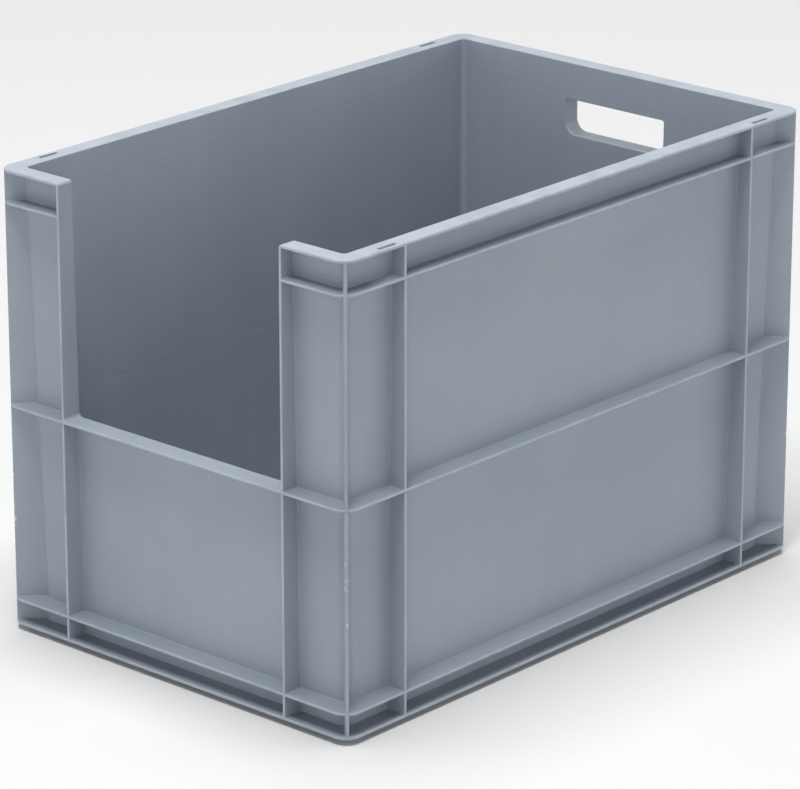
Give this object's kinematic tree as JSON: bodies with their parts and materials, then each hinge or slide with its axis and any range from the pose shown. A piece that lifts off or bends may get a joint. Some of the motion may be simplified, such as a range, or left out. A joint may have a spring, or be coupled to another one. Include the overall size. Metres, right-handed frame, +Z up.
{
  "type": "open-front stacking crate",
  "caption": "Rigid ribbed plastic stacking crate with a pick opening in its front wall, a hand hole in its rear wall and a foot that nests in the rim of the crate below.",
  "frame": {"origin": "centre of the footprint, on the ground under the foot", "axes": "+Z up, X across the 400 mm width, Y along the 600 mm length, with the pick opening in the wall at -Y"},
  "size_m": [0.4, 0.6, 0.42],
  "materials": {
    "grey_plastic": "fine satin moulded surface"
  },
  "bodies": {
    "root": {"lower_box": "grey_plastic", "upper_frame": "grey_plastic"}
  },
  "joints": []
}
